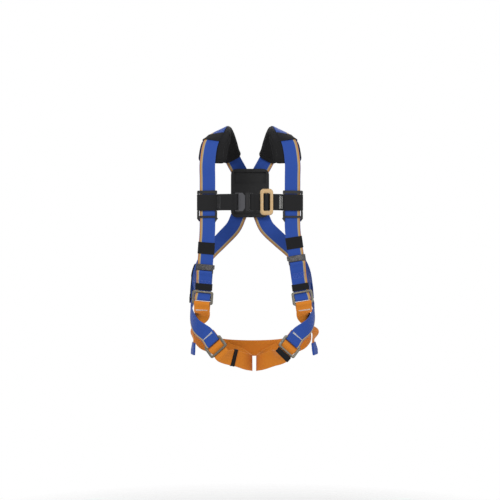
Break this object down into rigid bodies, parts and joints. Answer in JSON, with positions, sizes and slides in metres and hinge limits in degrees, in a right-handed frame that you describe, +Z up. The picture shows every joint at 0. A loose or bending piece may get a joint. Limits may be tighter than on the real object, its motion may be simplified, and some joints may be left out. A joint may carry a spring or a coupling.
{
  "type": "safety harness",
  "caption": "Full-body fall-arrest harness: crossed shoulder straps with pads and dorsal ring, buckled chest strap, sub-pelvic strap and leg loops with buckles.",
  "frame": {"origin": "midway between the shoulders, at the height where the straps cross them; the wearer holds it up there", "axes": "+Z up the wearer's body, the wearer faces -Y, +X is the wearer's left"},
  "size_m": [0.3632, 0.2868, 0.6891],
  "materials": {
    "blue_webbing": "woven polyester, satin ribs",
    "blue_sleeve": "woven polyester, matt",
    "orange_webbing": "woven polyester, satin ribs",
    "black_webbing": "woven polyester, matt",
    "black_elastic": "ribbed elastic, matt",
    "pad_fabric": "coated pad cloth, matt",
    "pouch_fabric": "coated cloth, matt",
    "black_plastic": "moulded, fine grain",
    "grey_plastic": "moulded, fine grain",
    "steel": "plated, slightly warm, worn satin",
    "gold_zinc": "yellow zinc plating, satin"
  },
  "bodies": {
    "webbing": {"shoulder_strap_right": "blue_webbing", "hip_strap_right": "blue_webbing", "leg_strap_right": "blue_webbing", "tail_tip_right": "blue_sleeve", "thigh_strap_right": "orange_webbing", "strap_tail_right": "orange_webbing", "shoulder_pad_right": "pad_fabric", "pad_band_right": "black_webbing", "lower_keeper_right": "black_elastic", "thigh_keeper_right": "black_elastic", "adjuster_frame_right": "steel", "hip_frame_right": "steel", "leg_buckle_right": "steel", "shoulder_strap_left": "blue_webbing", "hip_strap_left": "blue_webbing", "leg_strap_left": "blue_webbing", "tail_tip_left": "blue_sleeve", "thigh_strap_left": "orange_webbing", "strap_tail_left": "orange_webbing", "shoulder_pad_left": "pad_fabric", "pad_band_left": "black_webbing", "lower_keeper_left": "black_elastic", "thigh_keeper_left": "black_elastic", "adjuster_frame_left": "steel", "hip_frame_left": "steel", "leg_buckle_left": "steel", "seat_strap": "orange_webbing", "lanyard_clip": "black_plastic", "label_pouch": "pouch_fabric", "ring_plate": "black_plastic"},
    "chest_band": {"carriage_right": "black_plastic", "carriage_left": "black_plastic", "chest_strap_right": "black_webbing", "chest_strap_left": "black_webbing", "chest_buckle_plug": "grey_plastic", "chest_buckle_socket": "black_plastic", "chest_frame": "gold_zinc"},
    "ring": {"d_ring": "steel"},
    "upper_keeper_right": {"upper_keeper_right": "black_elastic"},
    "adjuster_bar_right": {"adjuster_bar_right": "steel"},
    "leg_buckle_bar_right": {"leg_buckle_bar_right": "steel"},
    "upper_keeper_left": {"upper_keeper_left": "black_elastic"},
    "adjuster_bar_left": {"adjuster_bar_left": "steel"},
    "leg_buckle_bar_left": {"leg_buckle_bar_left": "steel"}
  },
  "joints": [
    {"name": "ring_swing", "type": "hinge", "parent": "webbing", "child": "ring", "pos_m": [0, 0.1128, -0.13], "axis": [1, 0, 0], "range_deg": [0, 105]},
    {"name": "chest_band_height", "type": "slide", "parent": "webbing", "child": "chest_band", "axis": [0, 0, 1], "range_m": [-0.015, 0.025]},
    {"name": "upper_keeper_slide_right", "type": "slide", "parent": "webbing", "child": "upper_keeper_right", "axis": [0.069, -0.0536, 0.9962], "range_m": [-0.01, 0.01]},
    {"name": "adjuster_bar_slide_right", "type": "slide", "parent": "webbing", "child": "adjuster_bar_right", "axis": [0.069, -0.0536, 0.9962], "range_m": [0, 0.003]},
    {"name": "leg_buckle_bar_slide_right", "type": "slide", "parent": "webbing", "child": "leg_buckle_bar_right", "axis": [-0.585, 0.2664, 0.766], "range_m": [-0.0015, 0.0015]},
    {"name": "upper_keeper_slide_left", "type": "slide", "parent": "webbing", "child": "upper_keeper_left", "axis": [-0.1432, -0.0532, 0.9883], "range_m": [-0.01, 0.006]},
    {"name": "adjuster_bar_slide_left", "type": "slide", "parent": "webbing", "child": "adjuster_bar_left", "axis": [-0.1432, -0.0532, 0.9883], "range_m": [0, 0.003]},
    {"name": "leg_buckle_bar_slide_left", "type": "slide", "parent": "webbing", "child": "leg_buckle_bar_left", "axis": [0.585, 0.2664, 0.766], "range_m": [-0.0015, 0.0015]}
  ]
}
